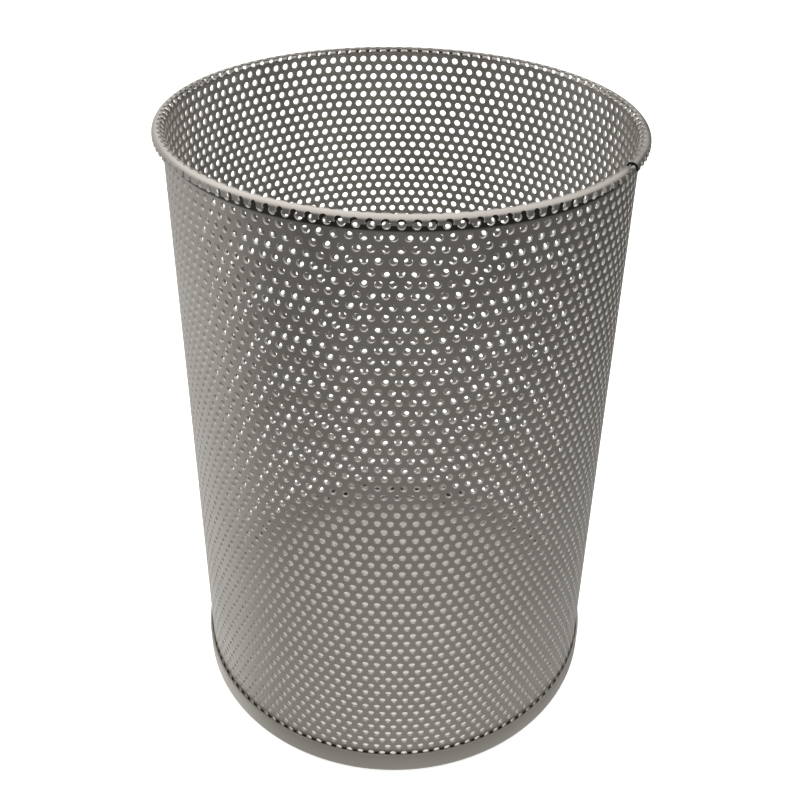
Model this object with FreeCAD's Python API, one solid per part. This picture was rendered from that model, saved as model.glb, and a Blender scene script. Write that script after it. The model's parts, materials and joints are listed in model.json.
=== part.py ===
"""A tall cylindrical cheese mould in stainless sheet: a rolled, perforated wall with a curled rim,
standing in a shallow solid base pan.

Millimetres. +Z is up, the origin is on the floor at the middle of the base, and -Y is the front.
The real sheet has several thousand small drain holes. They are far too many for an exact solid, so
the wall is drawn here as plain sheet of the same gauge.
"""

import FreeCAD, Part
import math
import os

# ---- driving dimensions ----
overall_height = 282.2
bore_diameter = 190.0  # inside of the wall, where the curd and the follower go
wall_thickness = 1.0

# rim: the top of the sheet is rolled outwards and down
curl_bend_radius = 2.35  # to the outside of the bend
curl_lip_length = 1.0  # straight lip below the bend
curl_slot_width = 2.0  # where the two ends of the curl stop short of each other

# upright seam, where the rolled sheet meets itself
seam_angle = -30.3  # degrees about +Z from +X
seam_width = 0.8
weld_height = 0.15  # how far the bead stands proud outside; it is ground flush inside

# base pan
pan_height = 12.0
pan_thickness = 1.0
pan_corner_radius = 3.0  # outside
pan_clearance = 0.5  # between the wall and the pan's upturned side
wall_lift = 0.1  # the wall's lower edge above the curve that it stands on

# spot welds that hold the wall in the pan
spot_weld_count = 12
spot_weld_diameter = 4.0
spot_weld_height = 7.5  # centre above the floor

# ---- worked out from them ----
wall_inner_radius = bore_diameter / 2
wall_outer_radius = wall_inner_radius + wall_thickness
curl_center_radius = wall_inner_radius + curl_bend_radius
curl_center_height = overall_height - curl_bend_radius
rim_outer_radius = wall_inner_radius + 2 * curl_bend_radius
lip_end_height = curl_center_height - curl_lip_length
pan_inner_radius = wall_outer_radius + pan_clearance
pan_outer_radius = pan_inner_radius + pan_thickness
pan_inner_corner_radius = pan_corner_radius - pan_thickness
cut_margin = 1.0  # how far a cutting shape runs past the faces that it cuts

Z_AXIS = FreeCAD.Vector(0, 0, 1)
ORIGIN = FreeCAD.Vector(0, 0, 0)


def at(radius, height):
    """A point of a profile that is turned about the Z axis."""
    return FreeCAD.Vector(radius, 0, height)


def line(start, end):
    return Part.LineSegment(start, end).toShape()


def quarter_arc(center, radius, from_degrees):
    """A quarter circle in the profile plane, its ends at from_degrees and a quarter turn further."""
    points = []
    for degrees in (from_degrees, from_degrees + 45.0, from_degrees + 90.0):
        angle = math.radians(degrees)
        points.append(center + at(radius * math.cos(angle), radius * math.sin(angle)))
    return Part.Arc(*points).toShape()


def turned(edges):
    """The solid that a closed profile sweeps in a full turn about Z."""
    profile = Part.Face(Part.Wire(Part.__sortEdges__(edges)))
    return profile.revolve(ORIGIN, Z_AXIS, 360)


def seam_box(width, low_radius, high_radius, low_height, high_height):
    """A radial slab centred on the seam."""
    corner = FreeCAD.Vector(low_radius, -width / 2, low_height)
    slab = Part.makeBox(high_radius - low_radius, width, high_height - low_height, corner)
    slab.rotate(ORIGIN, Z_AXIS, seam_angle)
    return slab


def ring(inner_radius, outer_radius, low_height, high_height):
    height = high_height - low_height
    base = FreeCAD.Vector(0, 0, low_height)
    return Part.makeCylinder(outer_radius, height, base).cut(Part.makeCylinder(inner_radius, height, base))


def foot_height(outer_radius):
    """Where a lower edge of this radius meets the inside curve of the pan's corner, plus the lift."""
    corner_center_radius = pan_inner_radius - pan_inner_corner_radius
    across = max(outer_radius - corner_center_radius, 0.0)
    rise = pan_inner_corner_radius - math.sqrt(pan_inner_corner_radius**2 - across**2)
    return pan_thickness + rise + wall_lift


def perforated_wall():
    """The rolled sheet: an upright cylinder whose top edge is curled outwards, open at the seam."""
    foot = foot_height(wall_outer_radius)
    center = at(curl_center_radius, curl_center_height)
    inner_bend = curl_bend_radius - wall_thickness
    lip_outer = rim_outer_radius
    lip_inner = rim_outer_radius - wall_thickness
    edges = [
        line(at(wall_inner_radius, foot), at(wall_inner_radius, curl_center_height)),
        quarter_arc(center, curl_bend_radius, 90.0),
        quarter_arc(center, curl_bend_radius, 0.0),
        line(at(lip_outer, curl_center_height), at(lip_outer, lip_end_height)),
        line(at(lip_outer, lip_end_height), at(lip_inner, lip_end_height)),
        line(at(lip_inner, lip_end_height), at(lip_inner, curl_center_height)),
        quarter_arc(center, inner_bend, 0.0),
        quarter_arc(center, inner_bend, 90.0),
        line(at(wall_outer_radius, curl_center_height), at(wall_outer_radius, foot)),
        line(at(wall_outer_radius, foot), at(wall_inner_radius, foot)),
    ]
    sheet = turned(edges)
    inside = wall_inner_radius - cut_margin
    outside = rim_outer_radius + cut_margin
    under_lip = lip_end_height - cut_margin
    above_rim = overall_height + cut_margin
    seam_gap = seam_box(seam_width, inside, outside, 0.0, curl_center_height)
    curl_slot = seam_box(curl_slot_width, inside, outside, curl_center_height, above_rim)
    lip_slot = seam_box(curl_slot_width, curl_center_radius, outside, under_lip, curl_center_height)
    return sheet.cut(seam_gap).cut(curl_slot).cut(lip_slot)


def seam_weld():
    """The bead that fills the gap between the sheet's two edges, up to the start of the curl."""
    bead_radius = wall_outer_radius + weld_height
    foot = foot_height(bead_radius)
    bead_ring = ring(wall_inner_radius, bead_radius, foot, curl_center_height)
    inside = wall_inner_radius - cut_margin
    outside = wall_outer_radius + cut_margin
    return bead_ring.common(seam_box(seam_width, inside, outside, foot, curl_center_height))


def base_pan():
    """A pressed disc with a rounded corner and a low upturned side round the foot of the wall."""
    center = at(pan_outer_radius - pan_corner_radius, pan_corner_radius)
    edges = [
        line(at(0, 0), at(pan_outer_radius - pan_corner_radius, 0)),
        quarter_arc(center, pan_corner_radius, 270.0),
        line(at(pan_outer_radius, pan_corner_radius), at(pan_outer_radius, pan_height)),
        line(at(pan_outer_radius, pan_height), at(pan_inner_radius, pan_height)),
        line(at(pan_inner_radius, pan_height), at(pan_inner_radius, pan_corner_radius)),
        quarter_arc(center, pan_inner_corner_radius, 270.0),
        line(at(pan_outer_radius - pan_corner_radius, pan_thickness), at(0, pan_thickness)),
        line(at(0, pan_thickness), at(0, 0)),
    ]
    return turned(edges)


def base_spot_welds():
    """Small round nuggets that bridge the clearance between the wall and the pan's side."""
    gap = ring(wall_outer_radius, pan_inner_radius, 0.0, pan_height)
    nuggets = []
    for i in range(spot_weld_count):
        angle = seam_angle + (i + 0.5) * 360.0 / spot_weld_count
        outward = FreeCAD.Rotation(Z_AXIS, angle).multVec(FreeCAD.Vector(1, 0, 0))
        start = outward * wall_inner_radius + FreeCAD.Vector(0, 0, spot_weld_height)
        length = pan_outer_radius - wall_inner_radius
        nuggets.append(gap.common(Part.makeCylinder(spot_weld_diameter / 2, length, start, outward)))
    return Part.makeCompound(nuggets)


os.makedirs("parts", exist_ok=True)
for make in (perforated_wall, seam_weld, base_pan, base_spot_welds):
    shape = make()
    shape.exportStep(os.path.join("parts", make.__name__ + ".step"))
    print(make.__name__, len(shape.Solids), "solids", round(shape.Volume), "mm3", "valid", shape.isValid())
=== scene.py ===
"""Looks of a perforated stainless cheese mould: the punched sheet and its curled rim, the upright
seam, the shallow base pan, the satin steel, the pale floor, the soft light and the camera.

Metres, +Z up, -Y to the front. Round the axis, an azimuth is measured from the front towards +X.
"""

import json
import math

import bpy
import numpy as np
from mathutils import Matrix, Vector
from mathutils.geometry import delaunay_2d_cdt


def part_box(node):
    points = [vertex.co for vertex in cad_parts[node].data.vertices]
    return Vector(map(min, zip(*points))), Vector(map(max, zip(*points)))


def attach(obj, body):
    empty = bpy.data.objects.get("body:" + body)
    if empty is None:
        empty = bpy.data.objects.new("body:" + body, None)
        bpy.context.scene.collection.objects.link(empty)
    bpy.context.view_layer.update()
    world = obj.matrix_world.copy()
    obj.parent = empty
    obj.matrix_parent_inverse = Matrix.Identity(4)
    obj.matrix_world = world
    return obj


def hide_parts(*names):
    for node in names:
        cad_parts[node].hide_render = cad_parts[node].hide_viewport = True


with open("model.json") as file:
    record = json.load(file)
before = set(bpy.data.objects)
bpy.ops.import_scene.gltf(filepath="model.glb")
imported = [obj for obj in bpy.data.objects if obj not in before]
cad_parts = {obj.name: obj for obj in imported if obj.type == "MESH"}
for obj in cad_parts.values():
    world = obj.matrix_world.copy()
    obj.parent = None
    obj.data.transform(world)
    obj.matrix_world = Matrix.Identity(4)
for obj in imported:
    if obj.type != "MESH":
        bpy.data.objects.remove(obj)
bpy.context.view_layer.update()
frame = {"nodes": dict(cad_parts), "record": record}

MM = 0.001
TURN = 2 * math.pi
CLOSE = 1e-8  # two lengths that differ by less are the same
SHARP = math.radians(40.0)  # faces that meet at more than this are shaded with an edge

# ---- sizes that come from the frame ----
wall_low, wall_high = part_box("perforated_wall")
pan_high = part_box("base_pan")[1]
mounts = {mount["name"]: mount for mount in frame["record"]["mounts"]}
bore_radius = mounts["curd_bore"]["dims"]["r_mm"] * MM
rim_top = wall_high.z
sheet_foot = wall_low.z
pan_height = pan_high.z
pan_radius = pan_high.x

# ---- the punched sheet ----
sheet_gauge = 1.0 * MM
bend_radius = 2.35 * MM  # of the curl, to the outside of the bend
lip_length = 1.0 * MM  # straight lip below the bend
bend_step = math.radians(10.0)  # how finely the bend is divided
holes_round = 120
hole_radius = 1.5 * MM
hole_sides = 16
row_pitch = 4.4234 * MM
first_row = 2.86 * MM  # height of the lowest row of holes
first_hole = math.radians(0.029)  # azimuth of one hole in the lowest row
seam_azimuth = math.radians(59.7)
slot_width = 2.0 * MM  # where the two ends of the curl stop short of each other
tuck_length = 5.0 * MM  # the near end of the curl is tucked in over this length
end_tuck = 0.7 * MM  # and by this much
panel_count = 5  # one mesh would have too many faces, so the sheet is this many upright panels
MERGE = 1e-6  # corners of two cells that are nearer than this are one

# ---- the base pan ----
pan_gauge = 1.0 * MM
pan_corner_radius = 3.0 * MM
edge_round = 0.2 * MM  # of the upturned side's top edge
sections = 240  # round the pan's axis
disc_rings = np.linspace(0.1, 0.9, 9)  # shares of the flat's radius where its faces are divided

# ---- the weld ----
bead_width = 0.8 * MM
bead_height = 0.15 * MM  # proud of the wall outside
inside_proud = 0.03 * MM  # and inside
bead_ripple = 0.7 * MM  # from one ripple to the next
ripple_depth = 0.10  # share of the bead's width
bead_end_power = 6  # how square the bead's ends are
bead_end_fall = 0.98  # how far it has shrunk there
bead_stations = 44  # along one bead
bead_sides = 16  # round it

# ---- painted shadow: a dark line painted on the wall under the lip, where the lip's shade falls ----
lip_shadow_foot = 274.6 * MM  # where it starts on the wall
lip_shadow_fade = 0.8 * MM  # the height over which it comes in
lip_shadow_depth = 0.9  # how much of the steel's own colour it hides
painted_shadow_colour = (0.03, 0.03, 0.028, 1.0)

# ---- the flat chart that the materials are baked on ----
chart_room = 1.02  # of the panel's own size
chart_edge = 0.01
cut_face_shares = (0.93, 0.6)  # a cut face lies between these shares of the way out from its hole's middle

# ---- which material a face of the sheet or of the pan wears ----
SHEET, BLACK_END, PUNCHED, BRIGHT_BORE = range(4)
PAN, BRIGHT_DISC, SHADED_EDGE = range(3)

# ---- how strong the room's light is ----
FRONT = 0.17  # from every side
BACK_LEFT = 0.58  # more from the back left
DEEP = 0.46  # more from far below
OVERHEAD = 1.28  # more from above

# ---- worked out from them ----
neutral_radius = bore_radius + sheet_gauge / 2
pitch = TURN * neutral_radius / holes_round
curl_radius = bore_radius + bend_radius
curl_height = rim_top - bend_radius
bend_neutral = bend_radius - sheet_gauge / 2
bend_length = math.pi * bend_neutral
sheet_end = curl_height + bend_length + lip_length
curl_rows = 2  # rows of holes that lie on the curl
row_count = math.ceil((sheet_end - first_row) / row_pitch + 0.5)
first_across = first_hole * neutral_radius
seam_across = seam_azimuth * neutral_radius
turn_across = TURN * neutral_radius


def sheet_point(across, along, depth):
    """Points of the rolled sheet. across and along are places on the flat sheet, and depth runs from
    the bore face (0) to the other face (1)."""
    azimuth = across / neutral_radius
    angle = np.clip((along - curl_height) / bend_neutral, 0.0, math.pi)
    reach = bend_radius - depth * sheet_gauge
    behind = (seam_across - slot_width / 2 - across) % turn_across
    near_end = np.clip(1 - behind / tuck_length, 0.0, 1.0)
    tuck = end_tuck * near_end**2 * (3 - 2 * near_end) * np.sin(angle / 2)
    radius = curl_radius - reach * np.cos(angle) - tuck * (1 - np.cos(angle))
    height = curl_height + (reach - tuck) * np.sin(angle)
    height = height + np.minimum(along - curl_height, 0.0)
    height = height - np.maximum(along - curl_height - bend_length, 0.0)
    return np.stack([radius * np.sin(azimuth), -radius * np.cos(azimuth), height], axis=-1)


def in_hole(x, y):
    """Whether a point is inside the many-sided hole at (0, 0)."""
    side = TURN / hole_sides
    off_middle = (math.atan2(y, x) + side / 2) % side - side / 2
    return math.hypot(x, y) * math.cos(off_middle) < hole_radius * math.cos(side / 2)


def cell(low, high, levels, slot, holed=True):
    """One hole and the flat sheet round it, cut into triangles. The hole's centre is at (0, 0), the
    sheet runs from low to high, levels are heights that the triangles keep to, and slot is None or the
    left, right and lower edge of a cut that is open upwards. Returns the points and the triangles."""
    half = pitch / 2
    points = []
    lines = []

    def add_line(corners):
        first = len(points)
        points.extend(Vector(corner) / MM for corner in corners)
        lines.extend((i, i + 1) for i in range(first, len(points) - 1))

    rows = [low, *levels, high]
    for y in rows:
        add_line([(-half, y), (0.0, y), (half, y)])
    for x in (-half, half):
        add_line([(x, y) for y in rows])
    if holed:
        turns = [TURN * (i + 0.5) / hole_sides for i in range(hole_sides + 1)]
        add_line([(hole_radius * math.cos(a), hole_radius * math.sin(a)) for a in turns])
    if slot:
        left, right, lower = slot
        add_line([(left, high), (left, lower), (right, lower), (right, high)])
    found, _, faces, *_ = delaunay_2d_cdt(points, lines, [], 0, 1e-5)
    places = np.array([tuple(p) for p in found]) * MM
    kept = []
    for face in faces:
        x, y = places[list(face)].mean(axis=0)
        in_slot = slot and left < x < right and y > lower
        if low < y < high and abs(x) < half and not in_slot and not (holed and in_hole(x, y)):
            kept.append(face)
    places[:, 0] = snapped(places[:, 0], (-half, 0.0, half))
    places[:, 1] = snapped(places[:, 1], rows)
    return places, np.array(kept)


def snapped(values, exact):
    """The values, with those that are very near an exact one set to it."""
    for value in exact:
        values = np.where(np.abs(values - value) < CLOSE, value, values)
    return values


def cut_edges(places, faces, open_ends):
    """The directed edges with sheet only on their left, apart from those that the next cell shares."""
    edges = {edge for face in faces.tolist() for edge in zip(face, face[1:] + face[:1])}
    half = pitch / 2
    found = []
    for a, b in sorted(edges):
        if (b, a) in edges:
            continue
        (ax, ay), (bx, by) = places[a], places[b]
        on_side = abs(abs(ax) - half) < CLOSE and abs(ax - bx) < CLOSE
        on_end = any(abs(ay - y) < CLOSE and abs(by - y) < CLOSE for y in open_ends)
        if not on_side and not on_end:
            found.append((a, b))
    return np.array(found)


def row_cells(row, columns):
    """The cells of one row of holes in one panel: their places on the flat sheet, their triangles,
    their cut edges and the middle of the hole that each place belongs to."""
    middle = first_row + row * row_pitch
    low = -row_pitch / 2
    high = row_pitch / 2
    open_ends = []
    if row > 0:
        open_ends.append(low)
    else:
        low = sheet_foot - middle
    if row < row_count - 1:
        open_ends.append(high)
    else:
        high = sheet_end - middle
    steps = round(math.pi / bend_step)
    bends = [curl_height + bend_length * i / steps - middle for i in range(steps + 1)]
    levels = [y for y in bends if low + CLOSE < y < high - CLOSE]
    plain = None
    for column in columns:
        across = first_across + (column + (row % 2) / 2) * pitch
        left = (seam_across - slot_width / 2 - across + turn_across / 2) % turn_across - turn_across / 2
        slot = (left, left + slot_width, curl_height - middle)
        reached = left < pitch / 2 and left + slot_width > -pitch / 2 and slot[2] < high
        if reached:
            places, faces = cell(low, high, levels, slot, holed=row < row_count - 1)
            edges = cut_edges(places, faces, open_ends)
        else:
            if plain is None:
                made = cell(low, high, levels, None)
                plain = (*made, cut_edges(*made, open_ends))
            places, faces, edges = plain
        yield places + (across, middle), faces, edges, (across, middle)


def make_mesh(name, points, faces, maps=None):
    """A mesh object from its points and its faces, which are arrays of corners. maps holds the flat
    place of each face's corners."""
    mesh = bpy.data.meshes.new(name)
    corners = np.concatenate([f.ravel() for f in faces])
    sizes = np.concatenate([np.full(len(f), f.shape[1]) for f in faces])
    starts = np.concatenate([[0], np.cumsum(sizes)[:-1]])
    mesh.vertices.add(len(points))
    mesh.vertices.foreach_set("co", points.astype(np.float32).ravel())
    mesh.loops.add(len(corners))
    mesh.loops.foreach_set("vertex_index", corners.astype(np.int32))
    mesh.polygons.add(len(sizes))
    mesh.polygons.foreach_set("loop_start", starts.astype(np.int32))
    if maps is not None:
        layer = mesh.uv_layers.new(name="OFBake")
        spots = np.concatenate([chart.reshape(-1, 2) for chart in maps])
        layer.uv.foreach_set("vector", spots.astype(np.float32).ravel())
    mesh.update(calc_edges=True)
    mesh.validate()
    mesh.shade_smooth()
    mesh.set_sharp_from_angle(angle=SHARP)
    piece = bpy.data.objects.new(name, mesh)
    bpy.context.scene.collection.objects.link(piece)
    return piece


def sheet_panel(name, columns):
    """One upright panel of the punched sheet, from its foot to the end of the curl."""
    places = []
    faces = []
    edges = []
    holes = []
    count = 0
    for row in range(row_count):
        for some, triangles, cuts, middle in row_cells(row, columns):
            places.append(some)
            faces.append(triangles + count)
            edges.append(cuts + count)
            holes.append(np.tile(middle, (len(cuts), 1)))
            count += len(some)
    places, faces, edges, holes = map(np.concatenate, (places, faces, edges, holes))
    keys = np.round(places / MERGE).astype(np.int64)
    _, first, same = np.unique(keys, axis=0, return_index=True, return_inverse=True)
    same = same.ravel()
    flat = places[first]
    faces = same[faces]
    edges = same[edges]
    total = len(flat)
    across, along = flat.T
    points = np.concatenate([sheet_point(across, along, 1.0), sheet_point(across, along, 0.0)])
    a, b = edges.T
    walls = np.stack([a, a + total, b + total, b], axis=1)
    low = flat.min(axis=0)
    span = flat.max(axis=0) - low
    to_map = np.array([0.5, 1.0]) / (span * chart_room)

    def charted(spots, side):
        """Places on the chart. Its left half holds one side of the sheet and its right half the other."""
        return (spots - low + span * chart_edge) * to_map + (0.5 * side, 0.0)

    near, far = cut_face_shares
    corners = ((a, near), (a, far), (b, far), (b, near))
    inward = [holes + (flat[end] - holes) * share for end, share in corners]
    wall_map = charted(np.stack(inward, axis=1), 0)
    maps = [charted(flat[faces], 0), charted(flat[faces[:, ::-1]], 1), wall_map]
    from_seam = np.abs((across - seam_across + turn_across / 2) % turn_across - turn_across / 2)
    at_slot = np.abs(from_seam - slot_width / 2) < MERGE
    at_slot &= along > curl_height - slot_width
    # the cut faces at the slot's ends wear the near-black colour
    ends = np.where(at_slot[a] & at_slot[b], BLACK_END, PUNCHED).astype(np.int32)
    piece = make_mesh(name, points, [faces, faces[:, ::-1] + total, walls], maps)
    outer_side = np.full(len(faces), SHEET, np.int32)
    below_curl = along[faces].max(axis=1) < curl_height + MERGE
    # the bore face below the curl wears the lighter, painted-light copy of the sheet's colour
    inner_side = np.where(below_curl, BRIGHT_BORE, SHEET).astype(np.int32)
    numbers = np.concatenate([outer_side, inner_side, ends])
    piece.data.polygons.foreach_set("material_index", numbers)
    return piece


def tube_faces(ring_count, around):
    """The faces of a closed tube: strips between its rings, then a fan at its first ring and one at its
    last. The fans' middles are the two points that follow the rings."""
    here = np.arange(around)
    after = (here + 1) % around
    strips = []
    for i in range(ring_count - 1):
        base = i * around
        top = base + around
        strips.append(np.stack([base + here, base + after, top + after, top + here], axis=1))
    last = (ring_count - 1) * around
    pole = ring_count * around
    first_fan = np.stack([pole + 0 * here, after, here], axis=1)
    last_fan = np.stack([pole + 1 + 0 * here, last + here, last + after], axis=1)
    return [np.concatenate(strips), first_fan, last_fan]


def turned(name, profile):
    """A closed solid of revolution. The profile's points run round the section, from axis to axis."""
    profile = np.array(profile)
    angles = np.arange(sections) * TURN / sections
    inner = profile[1:-1]
    radius = inner[:, :1]
    height = inner[:, 1:] + 0 * angles
    rings = np.stack([radius * np.cos(angles), radius * np.sin(angles), height], axis=-1)
    rings = rings.reshape(-1, 3)
    ends = np.array([[0, 0, profile[0][1]], [0, 0, profile[-1][1]]])
    return make_mesh(name, np.concatenate([rings, ends]), tube_faces(len(inner), sections))


def arc(center, radius, start, end, steps):
    """Points of an arc in the profile plane. The angles are degrees from outwards towards up."""
    angles = np.radians(np.linspace(start, end, steps + 1))
    return [(center[0] + radius * math.cos(a), center[1] + radius * math.sin(a)) for a in angles]


def base_pan():
    """The pressed disc with its rounded corner and low upturned side."""
    outer = pan_radius
    inner = outer - pan_gauge
    bend = pan_corner_radius
    inner_bend = bend - pan_gauge
    center_radius = outer - bend
    profile = [(0.0, 0.0)]
    profile += [(radius, 0.0) for radius in disc_rings * center_radius]
    profile += arc((center_radius, bend), bend, -90, 0, 10)
    edge_start = len(profile)
    profile += arc((outer - edge_round, pan_height - edge_round), edge_round, 0, 90, 4)
    profile += arc((inner + edge_round, pan_height - edge_round), edge_round, 90, 180, 4)
    inner_start = len(profile)
    profile += arc((center_radius, bend), inner_bend, 0, -90, 8)
    profile += [(radius, pan_gauge) for radius in disc_rings[::-1] * center_radius]
    profile += [(0.0, pan_gauge)]
    pan = turned("pressed_base_pan", profile)
    numbers = np.full(len(pan.data.polygons), PAN, np.int32)
    # the rounded top edge wears the darker, painted-shade copy of the pan's steel
    numbers[(edge_start - 1) * sections:] = SHADED_EDGE
    # the inner side and disc wear the lighter, painted-light copy of the pan's steel
    numbers[(inner_start - 1) * sections:] = BRIGHT_DISC
    numbers[-2 * sections:-sections] = PAN  # the fan under the middle comes after the strips
    pan.data.polygons.foreach_set("material_index", numbers)
    return pan


def seam_beads():
    """The weld, a run of short beads, each on the sheet between two of the holes that the seam crosses."""
    angles = np.arange(bead_sides) * TURN / bead_sides
    steps = np.linspace(-1.0, 1.0, bead_stations)
    reach = row_pitch - hole_radius
    swell = np.sqrt(1 - np.abs(steps) ** bead_end_power * bead_end_fall)
    all_points = []
    all_faces = []
    count = 0
    for row in range(1, row_count - curl_rows - 1, 2):
        middle = first_row + row * row_pitch
        ripple = 1 + ripple_depth * np.cos(steps * reach / bead_ripple * TURN + row)
        half_width = bead_width / 2 * swell * ripple
        across = seam_across + half_width[:, None] * np.cos(angles)
        outward = 0.5 + bead_height / sheet_gauge * swell * ripple
        proud = 0.5 + outward[:, None] * np.sin(angles)
        proud = np.maximum(proud, -inside_proud / sheet_gauge)
        along = middle + steps[:, None] * reach + 0 * angles
        points = sheet_point(across, along, proud).reshape(-1, 3)
        low_middle = points[:bead_sides].mean(axis=0)[None, :]
        high_middle = points[-bead_sides:].mean(axis=0)[None, :]
        all_points += [points, low_middle, high_middle]
        all_faces += [faces + count for faces in tube_faces(bead_stations, bead_sides)]
        count += len(points) + 2
    return make_mesh("seam_weld_beads", np.concatenate(all_points), all_faces)


# ---- materials ----
def map_range(tree, value, low, high, to_low, to_high, interpolation="LINEAR"):
    """A node that maps the value's range low to high onto to_low to to_high, and holds it there."""
    node = tree.nodes.new("ShaderNodeMapRange")
    node.interpolation_type = interpolation
    node.inputs["From Min"].default_value = low
    node.inputs["From Max"].default_value = high
    node.inputs["To Min"].default_value = to_low
    node.inputs["To Max"].default_value = to_high
    tree.links.new(value, node.inputs["Value"])
    return node.outputs["Result"]


def math_node(tree, kind, first, second):
    node = tree.nodes.new("ShaderNodeMath")
    node.operation = kind
    tree.links.new(first, node.inputs[0])
    tree.links.new(second, node.inputs[1])
    return node.outputs["Value"]


def painted_lip_shadow_mask(tree, place, spread, combined):
    """How much of the painted shadow shows: on the wall's outer face under the lip, where the lip's shade
    falls, not on the lip.
    """
    apart = tree.nodes.new("ShaderNodeSeparateXYZ")
    tree.links.new(place, apart.inputs["Vector"])
    flat = tree.nodes.new("ShaderNodeVectorMath")
    flat.operation = "MULTIPLY"
    flat.inputs[1].default_value = (1.0, 1.0, 0.0)
    tree.links.new(place, flat.inputs[0])
    length = tree.nodes.new("ShaderNodeVectorMath")
    length.operation = "LENGTH"
    tree.links.new(flat.outputs["Vector"], length.inputs[0])
    radius = length.outputs["Value"]
    outside = bore_radius + sheet_gauge
    low = 0.2 * sheet_gauge
    high = 0.6 * sheet_gauge
    from_bore = spread(radius, outside - high, outside - low, 0.0, 1.0)
    to_lip = spread(radius, outside + low, outside + high, 1.0, 0.0)
    top = lip_shadow_foot + lip_shadow_fade
    under = spread(apart.outputs["Z"], lip_shadow_foot, top, 0.0, lip_shadow_depth)
    return combined("MULTIPLY", combined("MULTIPLY", from_bore, to_lip), under)


def steel(name, colour, roughness, grain, spots, metallic=1.0, paint_lip_shadow=False):
    """Satin stainless sheet: fine rolling grain, cloudy patches of duller metal and faint smudges, and,
    where asked, a painted shadow darkening the wall under the lip.
    """
    material = bpy.data.materials.new(name)
    material.use_nodes = True
    tree = material.node_tree
    nodes = tree.nodes
    links = tree.links
    shader = nodes["Principled BSDF"]
    shader.inputs["Metallic"].default_value = metallic

    def noise(scale, detail, stretch=(1.0, 1.0, 1.0)):
        mapping = nodes.new("ShaderNodeMapping")
        mapping.inputs["Scale"].default_value = stretch
        texture = nodes.new("ShaderNodeTexNoise")
        texture.inputs["Scale"].default_value = scale
        texture.inputs["Detail"].default_value = detail
        links.new(place.outputs["Object"], mapping.inputs["Vector"])
        links.new(mapping.outputs["Vector"], texture.inputs["Vector"])
        return texture.outputs["Fac"]

    def spread(value, low, high, to_low, to_high):
        return map_range(tree, value, low, high, to_low, to_high)

    def combined(kind, first, second):
        return math_node(tree, kind, first, second)

    place = nodes.new("ShaderNodeTexCoord")
    clouds = noise(18.0, 3.0)
    smudges = noise(55.0, 5.0, (1.0, 1.0, 0.45))
    streaks = noise(1.0, 4.0, grain)
    speckle = noise(2600.0, 2.0)
    cloud_tone = spread(clouds, 0.3, 0.7, -0.05, 0.05)
    tone = combined("ADD", cloud_tone, spread(smudges, 0.35, 0.7, -spots, spots))
    tone = combined("ADD", tone, spread(streaks, 0.3, 0.7, -0.03, 0.03))
    ramp = nodes.new("ShaderNodeValToRGB")
    ramp.color_ramp.elements[0].color = (*[c * 0.8 for c in colour], 1.0)
    ramp.color_ramp.elements[1].color = (*[c * 1.2 for c in colour], 1.0)
    links.new(spread(tone, -0.25, 0.25, 0.0, 1.0), ramp.inputs["Fac"])
    colour_out = ramp.outputs["Color"]
    # painted shadow: under the lip the wall's colour is darkened to stand in for the lip's shade
    if paint_lip_shadow:
        shade = painted_lip_shadow_mask(tree, place.outputs["Object"], spread, combined)
        mix = nodes.new("ShaderNodeMix")
        mix.data_type = "RGBA"
        links.new(shade, mix.inputs["Factor"])
        links.new(colour_out, mix.inputs[6])
        mix.inputs[7].default_value = painted_shadow_colour
        colour_out = mix.outputs[2]
    links.new(colour_out, shader.inputs["Base Color"])
    smudge_rough = spread(smudges, 0.3, 0.7, roughness - 0.05, roughness + 0.06)
    rough = combined("ADD", smudge_rough, spread(streaks, 0.3, 0.7, -0.04, 0.04))
    links.new(rough, shader.inputs["Roughness"])
    relief = combined("ADD", spread(streaks, 0.0, 1.0, 0.0, 1.0), spread(speckle, 0.0, 1.0, 0.0, 0.6))
    bump = nodes.new("ShaderNodeBump")
    bump.inputs["Strength"].default_value = 0.25
    bump.inputs["Distance"].default_value = 0.00004
    links.new(relief, bump.inputs["Height"])
    links.new(bump.outputs["Normal"], shader.inputs["Normal"])
    return material


def wear(piece, *materials):
    """Gives the piece its materials. Its faces keep their numbers, which clearing would reset."""
    faces = piece.data.polygons
    numbers = np.zeros(len(faces), np.int32)
    faces.foreach_get("material_index", numbers)
    piece.data.materials.clear()
    for material in materials:
        piece.data.materials.append(material)
    faces.foreach_set("material_index", numbers)
    return piece


ROLLED = (60.0, 60.0, 3800.0)  # grain, as how often it changes along X, Y and Z
PRESSED = (60.0, 2600.0, 2600.0)
EVEN = (900.0, 900.0, 900.0)

# the sheet's colour carries the painted shadow under the lip
sheet_steel = steel("satin_sheet_steel", (0.40, 0.378, 0.354), 0.36, ROLLED, 0.05, paint_lip_shadow=True)
pan_steel = steel("satin_base_steel", (0.44, 0.42, 0.385), 0.38, PRESSED, 0.06)
# painted light: the pan's inner side and disc wear a far lighter copy of the pan's steel colour, standing
# in for light falling into the mould
painted_light_disc_material = steel("painted_light_satin_disc", (0.86, 0.85, 0.83), 0.42, PRESSED, 0.06)
punched_steel = steel("punched_edge_steel", (0.50, 0.485, 0.46), 0.55, EVEN, 0.05, metallic=0.5)
# painted light: the bore face wears a lighter copy of the sheet's colour, standing in for light inside the
# mould
painted_light_bore_material = steel("painted_light_satin_bore", (0.58, 0.56, 0.54), 0.36, ROLLED, 0.05)
# painted shade: the pan's rounded top edge wears a darker copy of the pan's colour, standing in for the
# shade in the gap between sheet and pan
painted_shade_edge_material = steel("painted_shade_pan_edge", (0.32, 0.305, 0.28), 0.5, EVEN, 0.05)
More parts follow.
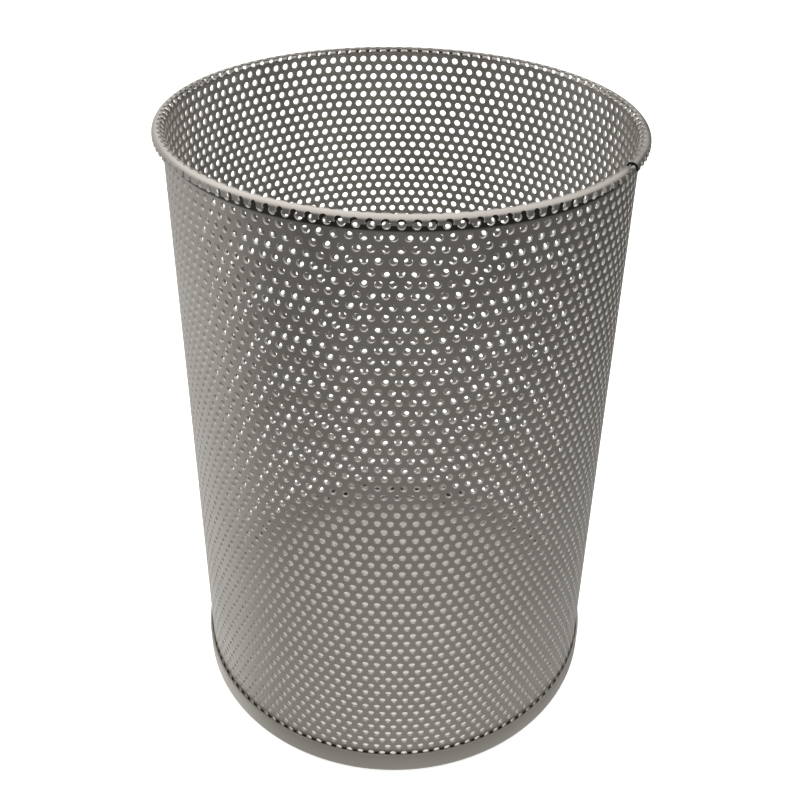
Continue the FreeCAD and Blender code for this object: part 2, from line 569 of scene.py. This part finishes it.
# the cut end faces at the slot in the curl are coloured near black
black_end_material = steel("black_slot_end", (0.03, 0.03, 0.03), 0.6, EVEN, 0.02)
weld_steel = steel("dressed_weld_steel", (0.44, 0.425, 0.40), 0.42, EVEN, 0.08)

panel_columns = holes_round // panel_count
seam_column = round((seam_across - first_across) / pitch)
for number in range(panel_count):
    start = seam_column + number * panel_columns
    panel = sheet_panel(f"punched_sheet_{number + 1}", range(start, start + panel_columns))
    wear(panel, sheet_steel, black_end_material, punched_steel, painted_light_bore_material)
    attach(panel, "root")
    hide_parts("perforated_wall")

pan = wear(base_pan(), pan_steel, painted_light_disc_material, painted_shade_edge_material)
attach(pan, "root")
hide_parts("base_pan")

beads = wear(seam_beads(), weld_steel)
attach(beads, "root")
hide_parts("seam_weld")

wear(frame["nodes"]["base_spot_welds"], weld_steel)


# ---- floor, light and camera ----
def floor():
    """A pale floor that the steel doesn't reflect."""
    size = 6.0  # to each side
    corners = np.array([(-size, -size, 0), (size, -size, 0), (size, size, 0), (-size, size, 0)])
    plane = make_mesh("floor", corners, [np.array([[0, 1, 2, 3]])])
    material = bpy.data.materials.new("pale_floor")
    material.use_nodes = True
    shader = material.node_tree.nodes["Principled BSDF"]
    shader.inputs["Base Color"].default_value = (0.92, 0.92, 0.92, 1.0)
    shader.inputs["Roughness"].default_value = 0.9
    shader.inputs["Specular IOR Level"].default_value = 0.0
    shader.inputs["Emission Color"].default_value = (1.0, 1.0, 1.0, 1.0)
    shader.inputs["Emission Strength"].default_value = 0.55
    wear(plane, material)
    plane.visible_glossy = False


def room_light():
    """A soft room, brightest overhead and next brightest at the back left. The camera sees it white."""
    world = bpy.data.worlds.new("studio")
    bpy.context.scene.world = world
    world.use_nodes = True
    tree = world.node_tree
    nodes = tree.nodes
    links = tree.links
    place = nodes.new("ShaderNodeTexCoord")
    split = nodes.new("ShaderNodeSeparateXYZ")
    links.new(place.outputs["Generated"], split.inputs["Vector"])

    def spread(value, low, high, to_low, to_high):
        return map_range(tree, value, low, high, to_low, to_high, "SMOOTHSTEP")

    toward = nodes.new("ShaderNodeVectorMath")
    toward.operation = "DOT_PRODUCT"
    toward.inputs[1].default_value = (-0.75, 0.66, 0.0)
    links.new(place.outputs["Generated"], toward.inputs[0])
    up = split.outputs["Z"]
    side_part = spread(toward.outputs["Value"], 0.3, 0.85, FRONT, FRONT + BACK_LEFT)
    deep_part = spread(up, -0.82, -0.42, DEEP, 0.0)
    high_part = spread(up, 0.22, 0.66, 0.0, OVERHEAD)
    level = math_node(tree, "ADD", math_node(tree, "ADD", side_part, deep_part), high_part)
    path = nodes.new("ShaderNodeLightPath")
    pick = nodes.new("ShaderNodeMix")
    links.new(path.outputs["Is Camera Ray"], pick.inputs["Factor"])
    links.new(level, pick.inputs["A"])
    pick.inputs["B"].default_value = 1.0
    links.new(pick.outputs["Result"], nodes["Background"].inputs["Strength"])
    tint = nodes.new("ShaderNodeMix")
    tint.data_type = "RGBA"
    links.new(path.outputs["Is Camera Ray"], tint.inputs["Factor"])
    tint.inputs[6].default_value = (1.0, 0.985, 0.96, 1.0)
    tint.inputs[7].default_value = (1.0, 1.0, 1.0, 1.0)
    links.new(tint.outputs[2], nodes["Background"].inputs["Color"])


def area_light(name, place, aim, size, power):
    data = bpy.data.lights.new(name, "AREA")
    data.shape = "DISK"
    data.size = size
    data.energy = power
    lamp = bpy.data.objects.new(name, data)
    lamp.location = place
    lamp.rotation_euler = (Vector(aim) - Vector(place)).to_track_quat("-Z", "Y").to_euler()
    bpy.context.scene.collection.objects.link(lamp)


def camera():
    """The view from the front and above, the camera's axes worked out from its three angles."""
    data = bpy.data.cameras.new("camera")
    data.sensor_width = 36.0
    data.lens = 46.130
    data.shift_x = -0.03213
    data.shift_y = -0.1125
    data.clip_start = 0.01
    data.clip_end = 50.0
    view = bpy.data.objects.new("camera", data)
    view.location = (0.0, -0.40045, 0.42098)
    turn = 0.02881
    pitch_down = 0.52249
    roll = 0.03064
    up = Vector((0.0, 0.0, 1.0))
    ahead = Vector((math.sin(turn), math.cos(turn), 0.0))
    right = Vector((math.cos(turn), -math.sin(turn), 0.0))
    forward = ahead * math.cos(pitch_down) - up * math.sin(pitch_down)
    upward = ahead * math.sin(pitch_down) + up * math.cos(pitch_down)
    side = right * math.cos(roll) + upward * math.sin(roll)
    top = upward * math.cos(roll) - right * math.sin(roll)
    axes = Matrix((side, top, -forward)).transposed()
    view.rotation_euler = axes.to_euler()
    bpy.context.scene.collection.objects.link(view)
    bpy.context.scene.camera = view


floor()
room_light()
area_light("overhead_panel", place=(-0.2, 0.2, 1.5), aim=(0.0, 0.0, 0.1), size=1.4, power=1.6)
camera()
bpy.context.scene.view_settings.view_transform = "Standard"
